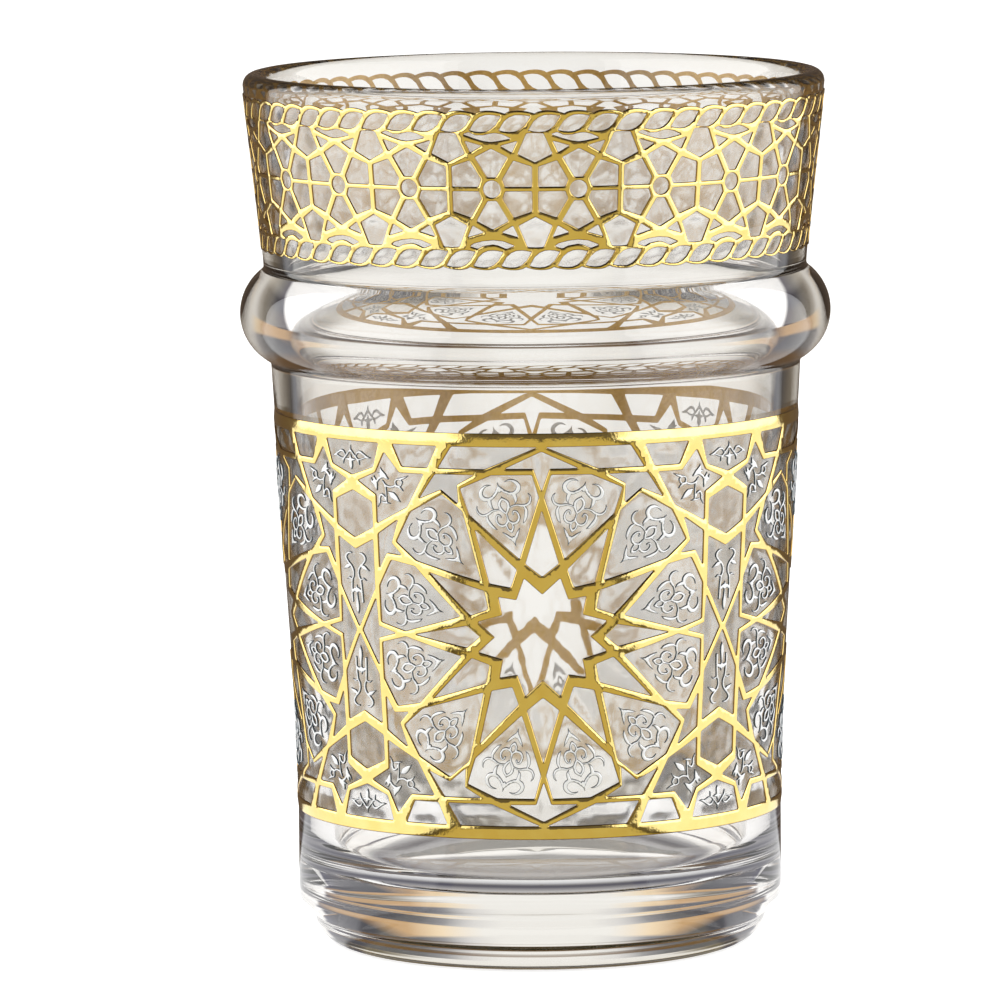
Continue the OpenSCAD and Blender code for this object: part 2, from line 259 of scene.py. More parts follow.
def edge_distance(points, first, run):
    """The distance from each point to the nearest of some sides, given as starts and runs."""
    nearest = np.full(len(points), np.inf)
    for part in np.array_split(np.arange(len(first)), max(1, len(first) // 100)):
        gap = points[:, None] - first[part]
        share = np.clip((gap * run[part]).sum(2) / (run[part] ** 2).sum(1), 0, 1)
        away = gap - share[..., None] * run[part]
        nearest = np.minimum(nearest, np.sqrt((away**2).sum(2)).min(1))
    return nearest


def inside(points, outlines):
    """Which points lie in any of the outlines: the sides that a ray towards +x crosses upwards,
    less those that it crosses downwards, don't add up to nothing."""
    found = np.zeros(len(points), bool)
    x, y = points.T
    for outline in outlines:
        ax, ay = outline.T
        bx, by = np.roll(outline, -1, 0).T
        rising = (ay <= y[:, None]) & (by > y[:, None])
        falling = (ay > y[:, None]) & (by <= y[:, None])
        with np.errstate(divide="ignore", invalid="ignore"):
            before = x[:, None] < (bx - ax) * (y[:, None] - ay) / (by - ay) + ax
        found |= (before & rising).sum(1) != (before & falling).sum(1)
    return found


def mirror_points(points, axis, far=0.0):
    """Points in turned order, mirrored across x = far or y = far."""
    points = np.array(points, float)[::-1].copy()
    points[:, axis] = 2 * far - points[:, axis]
    return points


# The openings are read as steps of degrees and millimetres from a star's centre.
whole_openings = [
    [[2.1, 16.5], [0.65, 14.2], [4.9, 8], [15.8, 12.45], [17.7, 15.05], [10.8, 16.45]],
    [[5.6, 6.9], [14.6, 10.9], [11.6, 5.5], [6.95, 5.1]],
    [[13.6, 5.7], [28.4, 7.6], [33.3, 9.4], [29.5, 12.5], [21.95, 14.4], [17.4, 12.75]],
    [[12.9, 4.7], [25.3, 6.4], [16.05, 2.2], [12.1, 2.85]],
    [[18.5, 2.05], [31.9, 0.3], [38.3, 1.05], [38.3, 4.75], [34.85, 7.45], [28.9, 6.95]],
    [[32.8, 11.6], [34.65, 9.2], [32.2, 8.05], [36, 8.2], [38.1, 6.6], [38.1, 10.05]],
    [
        [26.1, 16.4], [30.3, 13], [38.2, 11.15], [38.2, 14.05],
        [43.2, 15.35], [38.2, 16.3], [35.7, 18.4], [32, 16.4],
    ],
    [[1, 19.3], [12.2, 17.1], [22.6, 17.1], [19.5, 19.3]],
    [[14.6, 16.45], [18.5, 15.45], [18.3, 13.55], [22.1, 14.95], [27.2, 13.95], [23.4, 16.45]],
    [[22.9, 19.3], [25.1, 17.1], [31.2, 17.1], [33.4, 19.3]],
]
upright_openings = [
    [[0, 18.85], [7.8, 17.15], [1.7, 17.15], [0, 14.9]],
    [[0, 12.85], [3.6, 7.5], [0, 6.2]],
]
link_openings = [
    [[45, 19.3], [37.2, 19.3], [38.85, 16.85], [45, 15.9]],
    [[45, 14.3], [39.6, 13.25], [39.6, 10.65], [45, 9.5]],
    [[45, 8.25], [39.7, 9.4], [39.8, 4.4], [45, 0.35]],
]
level_openings = [
    [[14.15, 0], [17, 1.1], [29.3, 0]],
    [[34.6, 0], [39.3, 0.6], [39.6, 3.4], [44, 0]],
]
eye_opening = [
    [0, 4.35], [3.97, 6], [5.7, 3.8], [9.67, 4.1], [8.85, 2.25], [14.4, 1.53], [10.6, 0],
]

to_mm = np.array([degree, 1.0])
star_openings = [np.array(o, float) for o in whole_openings]
star_openings += [np.vstack([o, mirror_points(o, 0)]) for o in upright_openings]
star_openings += [np.vstack([o, mirror_points(o, 0, 45)]) for o in link_openings]
star_openings += [np.vstack([o, mirror_points(o, 1)]) for o in level_openings]
eye_half = np.vstack([mirror_points(eye_opening, 0), eye_opening])
star_openings.append(np.vstack([eye_half, mirror_points(eye_half, 1)]))
star_openings = [o * to_mm for o in star_openings]
past_band = 60
past_star = 90 * degree
star_openings.append(np.array([
    [-past_star, band_half_h], [past_star, band_half_h],
    [past_star, past_band], [-past_star, past_band],
]))
star_corner = 0.16
star_step = 0.3
star_outlines = [soft_outline(o, star_corner, star_step) for o in star_openings]
eye_outline = star_outlines[-2]

rim_mid_z = 80.1
rim_repeats = 21
rim_phase = 7.75
rope_centres = (6.6, -7.03)
rope_reaches = (1.3, 1.14)
rope_notch = 0.33
rope_phase = 0.32
scallop_lean = 0.8
scallop_round = 0.75
strand = 360 / (3 * rim_repeats)
strand_reach = 3.2
strand_rise = 0.9
eye_shift = -1.05
repeat_half = 180 / rim_repeats
ring_r = 0.91
rim_corner = 0.14
rim_step = 0.4
rim_shrink = 0.94
lower_stretch = 1.04
past_ropes = 30
rim_degree = np.pi * 28.95 / 180


def rope_edge(side, centre, rope_reach):
    """The scalloped edge of a rope over one repeat and a strand more on both hands. From notch
    to notch it rises as a half sine of a share raised to scallop_lean, so that each scallop
    leans the way that its strand does, and that is raised to scallop_round."""
    u = np.linspace(-repeat_half - strand, repeat_half + strand, 101)
    share = np.mod(side * (u - eye_shift) / strand + rope_phase, 1)
    bump = np.sin(np.pi * share**scallop_lean) ** scallop_round
    v = centre + side * (rope_reach - rope_notch * (1 - bump))
    return np.stack([u, v], 1)


def rope_eye(centre):
    """The opening inside a strand, pointed at both ends: its upper edge climbs fast and then
    runs level, and its lower edge is the same curve turned by half a turn."""
    t = np.linspace(-1, 1, 13)
    lift = [-0.8, 0.2, 0.72, 0.95, 1.0, 0.95, 0.8]
    upper = np.interp(t, [-1, -0.67, -0.33, 0, 0.33, 0.67, 1], lift)
    edge = np.stack([strand_reach * t, strand_rise * upper], 1)
    whole = np.vstack([edge[::-1], -edge[::-1]])
    return whole + [eye_shift, centre]


quarter_openings = [
    [[2.5, 0.17], [8.1, 0.17], [8.1, 2.3], [4.3, 2.95], [1.95, 0.95]],
    [[1.75, 4.35], [4.1, 3.65], [5.2, 4.85]],
]
middle_openings = [[[0, 4.15], [3.4, 3.25], [0.9, 1.12], [0, 1.12]]]
edge_openings = [[[8.57, 5.72], [6.85, 5.67], [5.0, 3.5], [8.57, 2.6]]]
upper_crescent = [
    [-5.4, 5.5], [-3.5, 5.15], [-1.5, 4.85], [0, 4.75], [1.5, 4.85], [3.9, 5.1],
    [2.2, 5.5], [1, 5.62], [0.2, 5.6], [-1.5, 5.4], [-3, 5.4], [-4.3, 5.7],
]
lower_crescent = [
    [-4.7, -5.75], [-4, -5.5], [-2, -5.25], [0, -5.15], [2, -5.25], [4.3, -5.7],
    [2.6, -6.0], [1, -5.65], [0, -5.55], [-2, -5.7], [-3.2, -6.0],
]
ring_turn = np.linspace(0, 2 * np.pi, 25)[:-1]
ring_opening = np.stack([ring_r / rim_degree * np.cos(ring_turn), ring_r * np.sin(ring_turn)], 1)

cornered = [np.array(upper_crescent), np.array(lower_crescent)]
for opening in quarter_openings:
    right = [np.array(opening, float), mirror_points(opening, 1)]
    cornered += right + [mirror_points(o, 0) for o in right]
for opening in middle_openings:
    whole = np.vstack([opening, mirror_points(opening, 0)])
    cornered += [whole, mirror_points(whole, 1)]
for opening in edge_openings:
    whole = np.vstack([opening, mirror_points(opening, 0, repeat_half)])
    cornered += [whole, mirror_points(whole, 1) * [1, lower_stretch]]
curved = [ring_opening]
for centre in rope_centres:
    curved += [rope_eye(centre) + [strand * k, 0] for k in (-1, 0, 1)]
rim_to_mm = np.array([rim_degree, 1.0])
crescents = [soft_outline(o * rim_to_mm, rim_corner, rim_step) for o in cornered[:2]]
one_repeat = [soft_outline(o * rim_to_mm, rim_corner, rim_step) for o in cornered[2:]]
one_repeat += [turned_left(o * rim_to_mm) for o in curved]
one_repeat = crescents + [o.mean(0) + (o - o.mean(0)) * rim_shrink for o in one_repeat]
repeats = [np.array([2 * repeat_half * rim_degree * k, 0]) for k in (-1, 0, 1)]
rim_outlines = [o + shift for shift in repeats for o in one_repeat]
upper_edge = rope_edge(1, rope_centres[0], rope_reaches[0])
lower_edge = rope_edge(-1, rope_centres[1], rope_reaches[1])
reach = upper_edge[-1, 0]
for edge, z in ((upper_edge, past_ropes), (lower_edge, -past_ropes)):
    rim_outlines.append(turned_left(np.vstack([edge, [[reach, z], [-reach, z]]]) * rim_to_mm))

pillow_start = 0.25
pillow_rise = 0.1
star_pillow_edge = 0.9
rim_pillow_edge = 0.55
pattern_reach = 7.9
clear_eye = 0.25
mould_wave = 0.035
still_base = 2
wave_fade = 10


def pillow(points, outlines, edge):
    """The height of the pressed pillows at flat points in mm: nothing on the lands and for
    pillow_start beside them, then a parabola that levels out after edge more."""
    far = np.clip((edge_distance(points, *sides_of(outlines)) - pillow_start) / edge, 0, 1)
    return np.where(inside(points, outlines), pillow_rise * (1 - (1 - far) ** 2), 0)


def star_cell_point(angle, z):
    """Folds places on the wall into the quarter of a star that the others mirror, in mm."""
    return np.stack([np.abs((angle + 45) % 90 - 45) * degree, np.abs(z - band_mid_z)], -1)


def pressed_relief(angle, z):
    """How far the pressed pattern stands proud at places in degrees and mm. Places that fold
    together are worked out once."""
    height = np.zeros(len(z))
    flat = star_cell_point(angle, z)
    band = flat[:, 1] < belt_edge
    once, index = np.unique(np.round(flat[band], 5), axis=0, return_inverse=True)
    height[band] = pillow(once, star_outlines[:-2], star_pillow_edge)[index.reshape(-1)]
    in_repeat = (angle - rim_phase + repeat_half) % (2 * repeat_half) - repeat_half
    flat = np.stack([in_repeat * rim_degree, z - rim_mid_z], -1)
    band = np.abs(flat[:, 1]) < pattern_reach
    reach = (repeat_half + 2) * rim_degree
    near = [o for o in rim_outlines[:-2] if np.any(np.abs(o[:, 0]) < reach)]
    height[band] = pillow(flat[band], near, rim_pillow_edge)
    return height


def mould_unevenness(turn, z):
    """A slow radial wave: two and five swells round the cup that lean as they rise, and none
    on the flat base."""
    fade = np.clip((z - still_base) / wave_fade, 0, 1)
    two = 0.6 * np.sin(2 * turn + z / 30)
    five = 0.4 * np.sin(5 * turn - z / 17 + 1)
    return mould_wave * fade * (two + five)


# Pressed soda-lime glass is clear, and faintly darker and warmer where it is seen edge on:
# partly its longer path, partly painted shade for its dark outline. Its skin has a slow
# swell about 11 mm long from the mould, which fire polishing softens. In the pressed bands
# it keeps the mould's own satin, with waves 1.7 mm long.
swells_per_mm = 0.09
waves_per_mm = 0.6
wave_height = 0.05
satin_roughness = 0.16
pressed_glass, tree, output = new_material("pressed_soda_lime_glass")
place = add_node(tree, "ShaderNodeTexCoord")
swell = add_node(tree, "ShaderNodeTexNoise", {
    "Vector": place.outputs["Object"], "Scale": swells_per_mm / MM, "Detail": 1.0
})
slow = add_node(tree, "ShaderNodeBump", {
    "Height": swell.outputs["Fac"], "Strength": 0.06, "Distance": MM
})
pressed = add_node(tree, "ShaderNodeAttribute", attribute_name="worked")
waves = add_node(tree, "ShaderNodeTexNoise", {
    "Vector": place.outputs["Object"], "Scale": waves_per_mm / MM, "Detail": 1.0
})
skin = add_node(tree, "ShaderNodeBump", {
    "Height": waves.outputs["Fac"], "Strength": pressed.outputs["Fac"],
    "Distance": wave_height * MM, "Normal": slow.outputs["Normal"],
})
satin = add_node(tree, "ShaderNodeMath", {
    0: pressed.outputs["Fac"], 1: satin_roughness
}, operation="MULTIPLY")
edge = add_node(tree, "ShaderNodeLayerWeight", {"Blend": 0.25})
# Painted shade: a darker warm tint towards edge-on, partly standing for the longer path.
edge_tint_and_shade = add_node(tree, "ShaderNodeValToRGB", {
    "Fac": edge.outputs["Facing"]
}, [(0, "#FFFFFF"), (1, "#DED3C2")])
glass = add_node(tree, "ShaderNodeBsdfPrincipled", {
    "Base Color": edge_tint_and_shade.outputs["Color"],
    "Roughness": satin.outputs["Value"],
    "IOR": 1.52,
    "Transmission Weight": 1.0,
    "Normal": skin.outputs["Normal"],
})
tree.links.new(glass.outputs["BSDF"], output.inputs["Surface"])


ring_points, faces = revolve(cup_profile(), turn_steps, mould_unevenness)
turned = np.degrees(np.arctan2(ring_points[:, 0], -ring_points[:, 1]))
outside = np.hypot(ring_points[:, 0], ring_points[:, 1]) > plain_wall(ring_points[:, 2]) - wall_t / 2
outside &= (ring_points[:, 2] > foot_r) & (ring_points[:, 2] < glass_h - wall_t)
relief = np.zeros(len(ring_points))
relief[outside] = pressed_relief(turned[outside], ring_points[outside, 2])
across = np.maximum(np.hypot(ring_points[:, 0], ring_points[:, 1]), 1)[:, None]
ring_points[:, :2] *= 1 + relief[:, None] / across
cup = add_piece("pressed_cup", ring_points, faces, pressed_glass, "clear_glass", "glass_cup")
in_star = star_cell_point(turned, ring_points[:, 2])
worked = (in_star[:, 1] < belt_edge) | (np.abs(ring_points[:, 2] - rim_mid_z) < pattern_reach)
worked = np.where(inside(in_star, [eye_outline]), clear_eye, worked) * outside
attribute = cup.data.attributes.new("worked", "FLOAT", "POINT")
attribute.data.foreach_set("value", worked.astype(np.float32))


# The star band is bright gold, painted over a raised ground and fired: straps
# that cross in four twelve-pointed stars and run on into the belts above and
# below. It is one unbroken layer, so it is one piece.

gold_rise = 0.15
gold_sink = 0.03
gold_edge = 0.12
gold_rows = (0.3, 1)
gold_grid = 0.55
gold_grid_gap = 0.32
gold_row_share = 0.93
frame_gap = 0.03
seam_step = 0.06
seam_gap = 0.02
merge_distance = 2e-4
touching = 1e-4
frame_snap = 2e-5
belt_soft = 0.9
belt_fall = 0.75


def on_wall(angle, z, proud):
    """Places points on the cup: angle in degrees from -Y, height z, and proud of the glass
    along the wall's normal, which comes from the slope of the outer wall."""
    step = 0.05
    slope = (outer_wall(z + step) - outer_wall(z - step)) / (2 * step)
    scale = 1 / np.hypot(1, slope)
    turn = np.radians(angle)
    radius = outer_wall(z) + mould_unevenness(turn, z) + proud * scale
    return np.stack([radius * np.sin(turn), -radius * np.cos(turn), z - proud * scale * slope], -1)


def rounded_rise(away, width, height):
    """A film's height at some distances from its edge: a quarter ellipse as wide as width."""
    return height * np.sqrt(1 - (1 - np.clip(away / width, 0, 1)) ** 2)


def ring_edges(rings):
    """The sides of closed outlines, as pairs of places in the list of all their points."""
    starts = np.cumsum([0] + [len(ring) for ring in rings[:-1]])
    index = [start + np.arange(len(ring)) for start, ring in zip(starts, rings)]
    return np.vstack([np.stack([i, np.roll(i, -1)], 1) for i in index])


def delaunay(points, edges, nearness=1e-5):
    """Constrained Delaunay triangles over flat points: no point lies in the circle of a
    triangle that it can see, and the edges stay. Points nearer than nearness are one."""
    flat, _, triangles, _, _, _ = delaunay_2d_cdt(
        [Vector(p) for p in points.tolist()], edges.tolist(), [], 0, nearness, False
    )
    return np.array([p[:] for p in flat]), np.array(triangles)


def triangulate(points, outlines, low, high):
    """Triangles of the gold inside the rectangle low to high, which leave out the openings.
    The outlines and the rectangle are fixed edges."""
    corners = np.array([low, (high[0], low[1]), high, (low[0], high[1])], float)
    rings = [*outlines, corners]
    flat, triangles = delaunay(np.vstack([*rings, points]), ring_edges(rings))
    for axis in (0, 1):
        for limit in (low[axis], high[axis]):
            flat[np.abs(flat[:, axis] - limit) < frame_snap, axis] = limit
    middle = flat[triangles].mean(1)
    gold = np.all((middle > low) & (middle < high), axis=1) & ~inside(middle, outlines)
    return flat, triangles[gold]


def triangle_sides(triangles):
    """Each side of some triangles once, as a pair of points, and how many triangles share it."""
    sides = [triangles[:, [0, 1]], triangles[:, [1, 2]], triangles[:, [2, 0]]]
    return np.unique(np.sort(np.vstack(sides), 1), axis=0, return_counts=True)


def chord_middles(points, triangles, on_edge):
    """The middles of the sides that join two points of the edge and have triangles on both
    hands. Such a side would lie in the top and in the underside, so the top gets its middle."""
    sides, uses = triangle_sides(triangles)
    chords = sides[(uses == 2) & on_edge[sides].all(1)]
    return points[chords].mean(1)


def gold_cell(outlines, low, high, axes, nearness, belt=None):
    """One repeat of a gold net in mm. Rows of points follow each opening at set distances, and
    the rise grows from nothing at its edge along a quarter ellipse, and falls away evenly past
    the height named belt. Returns the top and the underside, each as points, rise, edge share
    and triangles."""
    low, high = np.array(low, float), np.array(high, float)
    sides = sides_of(outlines)
    beside = []
    for outline in outlines:
        for part in gold_rows:
            beside.append((outline + outward(outline) * gold_edge * part, gold_edge * part))
    across, up = (np.arange(low[axis], high[axis], gold_grid) for axis in (0, 1))
    grid = np.stack(np.meshgrid(across, up), 2)
    beside.append((grid.reshape(-1, 2), gold_grid_gap))
    points = np.vstack([b[0] for b in beside])
    wanted = np.concatenate([np.full(len(b[0]), b[1]) for b in beside])
    keep = np.all((points > low + frame_gap) & (points < high - frame_gap), axis=1)
    points, wanted = points[keep], wanted[keep]
    clear = edge_distance(points, *sides) > gold_row_share * wanted
    points = points[clear & ~inside(points, outlines)]
    _, first = np.unique(np.round(points / nearness), axis=0, return_index=True)
    points = points[first]
    for axis, value in axes:
        run = np.arange(low[1 - axis], high[1 - axis], seam_step)
        line = np.full((len(run), 2), float(value))
        line[:, 1 - axis] = run
        line = line[(edge_distance(line, *sides) > seam_gap) & ~inside(line, outlines)]
        points = np.vstack([points, line])
    near = [o for o in outlines if np.any(np.all((o > low - 1) & (o < high + 1), axis=1))]
    top, top_faces = triangulate(points, near, low, high)
    for again in range(3):
        on_edge = edge_distance(top, *sides_of(near)) < touching
        points = np.vstack([points, chord_middles(top, top_faces, on_edge)])
        top, top_faces = triangulate(points, near, low, high)
    under, under_faces = triangulate(np.zeros((0, 2)), near, low, high)
    far = edge_distance(top, *sides_of(near))
    far[far < touching] = 0
    rise = rounded_rise(far, gold_edge, gold_rise)
    if belt:
        drop = np.clip((top[:, 1] - belt) / belt_soft, 0, 1)
        rise = rise * (1 - belt_fall * drop)
    rise -= gold_sink
    share = 1 - np.clip(far / gold_edge, 0, 1)
    level, middle = np.full(len(under), -gold_sink), np.zeros(len(under))
    return (top, rise, share, top_faces), (under, level, middle, under_faces[:, ::-1])


def join_cells(cells):
    """Joins copies of flat cells, given as (angle, z, rise, edge share, faces, under), on the
    wall, merges the points that fall together and drops those that carry no face. Returns
    points, edge shares, faces, and which faces lie against the glass."""
    points = np.vstack([on_wall(angle, z, rise) for angle, z, rise, *_ in cells])
    shares = np.concatenate([cell[3] for cell in cells])
    starts = np.cumsum([0] + [len(cell[0]) for cell in cells[:-1]])
    faces = np.vstack([cell[4] + start for cell, start in zip(cells, starts)])
    under = np.concatenate([np.full(len(cell[4]), cell[5]) for cell in cells])
    rounded = np.round(points / merge_distance).astype(np.int64)
    _, first, index = np.unique(rounded, axis=0, return_index=True, return_inverse=True)
    faces = index.reshape(-1)[faces]
    whole = (faces[:, 0] != faces[:, 1]) & (faces[:, 1] != faces[:, 2]) & (faces[:, 0] != faces[:, 2])
    used, faces = np.unique(faces[whole], return_inverse=True)
    first = first[used]
    return points[first], shares[first], faces.reshape(-1, 3), under[whole]


quarter = (45 * degree, band_half_h)
axes = [(0, 0), (0, quarter[0]), (1, 0)]
star_nearness = 0.045
layers = gold_cell(star_outlines, (0, 0), quarter, axes, star_nearness, belt=band_half_h - belt_soft)
cells = []
for star in range(4):
    for side in (1, -1):
        for level in (1, -1):
            for under, (flat, rise, share, faces) in enumerate(layers):
                angle = 90 * star + side * flat[:, 0] / degree
                z = band_mid_z + level * flat[:, 1]
                turned = faces if side * level > 0 else faces[:, ::-1]
                cells.append((angle, z, rise, share, turned, under))
star_band = join_cells(cells)

# Fired bright gold is a film of real gold: a clear warm yellow mirror, with painted shade
# that turns it dark brown towards its rounded edges, a fine grain of 0.28 mm from the ground
# under it and a slow wave 2 mm long from the brush.
brush_marks_per_mm = 0.5
gold_grains_per_mm = 3.6
brush_height = 0.02
grain_height = 0.008
bright_gold, tree, output = new_material("fired_bright_gold")
place = add_node(tree, "ShaderNodeTexCoord")
brush = add_node(tree, "ShaderNodeTexNoise", {
    "Vector": place.outputs["Object"], "Scale": brush_marks_per_mm / MM, "Detail": 2.0
})
tone = add_node(tree, "ShaderNodeValToRGB", {
    "Fac": brush.outputs["Fac"]
}, [(0.3, "#FBDF88"), (0.7, "#FFE898")])
edge_nearness = add_node(tree, "ShaderNodeAttribute", attribute_name="edge_share")
painted_edge_shade_amount = add_node(tree, "ShaderNodeMapRange", {
    "Value": edge_nearness.outputs["Fac"], "From Min": 0.0, "From Max": 0.8, "To Min": 0.0, "To Max": 0.85
})
# Painted shade: the gold turns dark brown towards its edges.
painted_edge_shade = add_node(tree, "ShaderNodeMix", {
    0: painted_edge_shade_amount.outputs["Result"], 6: tone.outputs["Color"], 7: linear("#8A5A1E")
}, data_type="RGBA")
grain = add_node(tree, "ShaderNodeTexNoise", {
    "Vector": place.outputs["Object"], "Scale": gold_grains_per_mm / MM, "Detail": 1.0
})
wave = add_node(tree, "ShaderNodeBump", {
    "Height": brush.outputs["Fac"], "Strength": 1.0, "Distance": brush_height * MM
})
film = add_node(tree, "ShaderNodeBump", {
    "Height": grain.outputs["Fac"], "Strength": 1.0, "Distance": grain_height * MM,
    "Normal": wave.outputs["Normal"],
})
gold = add_node(tree, "ShaderNodeBsdfPrincipled", {
    "Base Color": painted_edge_shade.outputs[2],
    "Metallic": 1.0,
    "Roughness": 0.1,
    "Normal": film.outputs["Normal"],
})
tree.links.new(gold.outputs["BSDF"], output.inputs["Surface"])


# The gold's underside is fired onto the paste that raises it. Seen through the glass it
# is a softer amber metal with a dull sheen and a grain of 0.4 mm.
clots_per_mm = 2.5
relief_paste, tree, output = new_material("amber_relief_paste")
place = add_node(tree, "ShaderNodeTexCoord")
clots = add_node(tree, "ShaderNodeTexNoise", {
    "Vector": place.outputs["Object"], "Scale": clots_per_mm / MM, "Detail": 2.0
})
amber = add_node(tree, "ShaderNodeValToRGB", {
    "Fac": clots.outputs["Fac"]
}, [(0.3, "#D9AF64"), (0.7, "#E9C57B")])
paste = add_node(tree, "ShaderNodeBsdfPrincipled", {
    "Base Color": amber.outputs["Color"], "Metallic": 1.0, "Roughness": 0.35
})
tree.links.new(paste.outputs["BSDF"], output.inputs["Surface"])


def add_film(name, film, top, underside, slot, *nodes):
    """Adds a fired layer from joined cells: a smooth top, and an underside of its own material,
    which is level and so isn't shaded smooth. Keeps how near each point is to the edge."""
    points, shares, faces, under = film
    piece = add_piece(name, points, faces.tolist(), top, slot, *nodes)
    piece.data.materials.append(underside)
    piece.data.polygons.foreach_set("material_index", under.astype(np.int32))
    piece.data.polygons.foreach_set("use_smooth", under == 0)
    attribute = piece.data.attributes.new("edge_share", "FLOAT", "POINT")
    attribute.data.foreach_set("value", shares.astype(np.float32))


add_film(
    "gold_star_band", star_band, bright_gold, relief_paste, "fired_gold",
    "star_strapwork", "body_belt_upper", "body_belt_lower",
)


# The rim band is the same fired gold: a lattice of rings and spokes, 21 repeats
# round the collar, between two twisted ropes whose strands all lean one way.

half = repeat_half * rim_degree
rim_reach = 9
rim_nearness = 0.07
axes = [(0, -half), (0, half)]
layers = gold_cell(rim_outlines, (-half, -rim_reach), (half, rim_reach), axes, rim_nearness)
cells = []
for repeat in range(rim_repeats):
    for under, (flat, rise, share, faces) in enumerate(layers):
        angle = rim_phase + 2 * repeat_half * repeat + flat[:, 0] / rim_degree
        cells.append((angle, rim_mid_z + flat[:, 1], rise, share, faces, under))
add_film(
    "gold_rim_band", join_cells(cells), bright_gold, relief_paste, "fired_gold",
    "rim_lattice", "rim_rope_upper", "rim_rope_lower",
)


# The arabesques are thick white enamel, laid on the glass in scrolls and fired
# until it is smooth and glossy. Each figure is one flat-topped layer with round
# edges: its strokes run into each other, thin out at their tips and leave eyes.

white_rise = 0.2
white_edge = 0.09
white_rows = (0.35, 1)
white_sink = 0.06
white_row_share = 0.9
white_nearness = 0.06
middle_gap = 0.03


def stroke_outline(controls, widths, step=0.13):
    """One stroke in mm: a cubic Hermite curve through the controls, set off to both sides by
    half the width there, with a half round at each end. Returns the outline and its middle line."""
    controls = np.array(controls, float)
    slope = np.gradient(controls, axis=0)
    length = np.hypot(*np.diff(controls, axis=0).T).sum()
    spots = np.linspace(0, len(controls) - 1, max(4, int(length / step)))
    i = np.clip(spots.astype(int), 0, len(controls) - 2)
    t = (spots - i)[:, None]
    path = curve_between(t, controls[i], controls[i + 1], slope[i], slope[i + 1])
    half = (np.interp(spots, np.arange(len(controls)), widths) / 2)[:, None]
    along = np.gradient(path, axis=0)
    along = along / np.hypot(*along.T)[:, None]
    side = np.stack([-along[:, 1], along[:, 0]], 1)
    turn = np.radians([45, 90, 135])[:, None]
    end = path[-1] + half[-1] * (-side[-1] * np.cos(turn) + along[-1] * np.sin(turn))
    start = path[0] + half[0] * (side[0] * np.cos(turn) - along[0] * np.sin(turn))
    return np.vstack([path - side * half, end, (path + side * half)[::-1], start]), path


def both_sides(strokes):
    """Strokes and their mirror images across the figure's own axis."""
    return strokes + [([(-x, y) for x, y in controls], widths) for controls, widths in strokes]


def filled(points, edges, outlines, nearness=1e-5):
    """Triangles over flat points, as far as they lie inside some outlines."""
    flat, triangles = delaunay(points, edges, nearness)
    return flat, triangles[inside(flat[triangles].mean(1), outlines)]


def enamel_figure(strokes):
    """One figure in mm. A first triangulation finds the outer sides of all the strokes
    together: the edges with only one triangle of enamel. A second one fills them, with rows
    of points inside the edge, where the rise grows along a quarter ellipse."""
    drawn = [stroke_outline(*s) for s in strokes]
    outlines, middles = [d[0] for d in drawn], np.vstack([d[1] for d in drawn])
    flat, triangles = filled(np.vstack(outlines), ring_edges(outlines), outlines, touching)
    edges, uses = triangle_sides(triangles)
    rim, edges = np.unique(edges[uses == 1], return_inverse=True)
    rim, edges = flat[rim], edges.reshape(-1, 2)
    sides = rim[edges[:, 0]], rim[edges[:, 1]] - rim[edges[:, 0]]
    rows = [(middles, middle_gap)]
    for outline in outlines:
        for part in white_rows:
            rows.append((outline - outward(outline) * white_edge * part, white_edge * part))
    points = np.vstack([r[0] for r in rows])
    wanted = np.concatenate([np.full(len(r[0]), r[1]) for r in rows])
    clear = edge_distance(points, *sides) > white_row_share * wanted
    points = points[clear & inside(points, outlines)]
    _, first = np.unique(np.round(points / white_nearness), axis=0, return_index=True)
    layers, extra = [], points[first]
    for again in range(3):
        flat, triangles = filled(np.vstack([rim, extra]), edges, outlines)
        on_edge = edge_distance(flat, *sides) < touching
        extra = np.vstack([extra, chord_middles(flat, triangles, on_edge)])
    for inner in (extra, np.zeros((0, 2))):
        flat, triangles = filled(np.vstack([rim, inner]), edges, outlines)
        far = edge_distance(flat, *sides)
        far[far < touching] = 0
        layers.append((flat, rounded_rise(far, white_edge, white_rise) - white_sink, far, triangles))
    flat, rise, far, triangles = layers[1]
    layers[1] = flat, np.full(len(flat), -white_sink), far, triangles[:, ::-1]
    return [(flat, rise, 1 - np.clip(far / white_edge, 0, 1), faces)
            for flat, rise, far, faces in layers]


def add_figures(name, strokes, places, node):
    """Lays one figure at every place, given as (degrees, mm, tilt), its mirror image where the
    place is to the left of the star or below it, and all of that at the four stars."""
    layers = enamel_figure(strokes)
    cells = []
    for seat_u, seat_v, tilt in places:
        turn = np.radians(tilt)
        for under, (flat, rise, share, faces) in enumerate(layers):
            x = seat_u + (flat[:, 0] * np.cos(turn) + flat[:, 1] * np.sin(turn)) / degree
            y = seat_v + flat[:, 1] * np.cos(turn) - flat[:, 0] * np.sin(turn)
            proud = rise + pressed_relief(x, band_mid_z + y)
            for star in range(4):
                for side in (1, -1) if seat_u < 45 else (1,):
                    for level in (1, -1):
                        turned = faces if side * level > 0 else faces[:, ::-1]
                        angle, z = 90 * star + side * x, band_mid_z + level * y
                        cells.append((angle, z, proud, share, turned, under))
    add_film(name, join_cells(cells), relief_enamel, enamel_ground, "white_enamel", node)
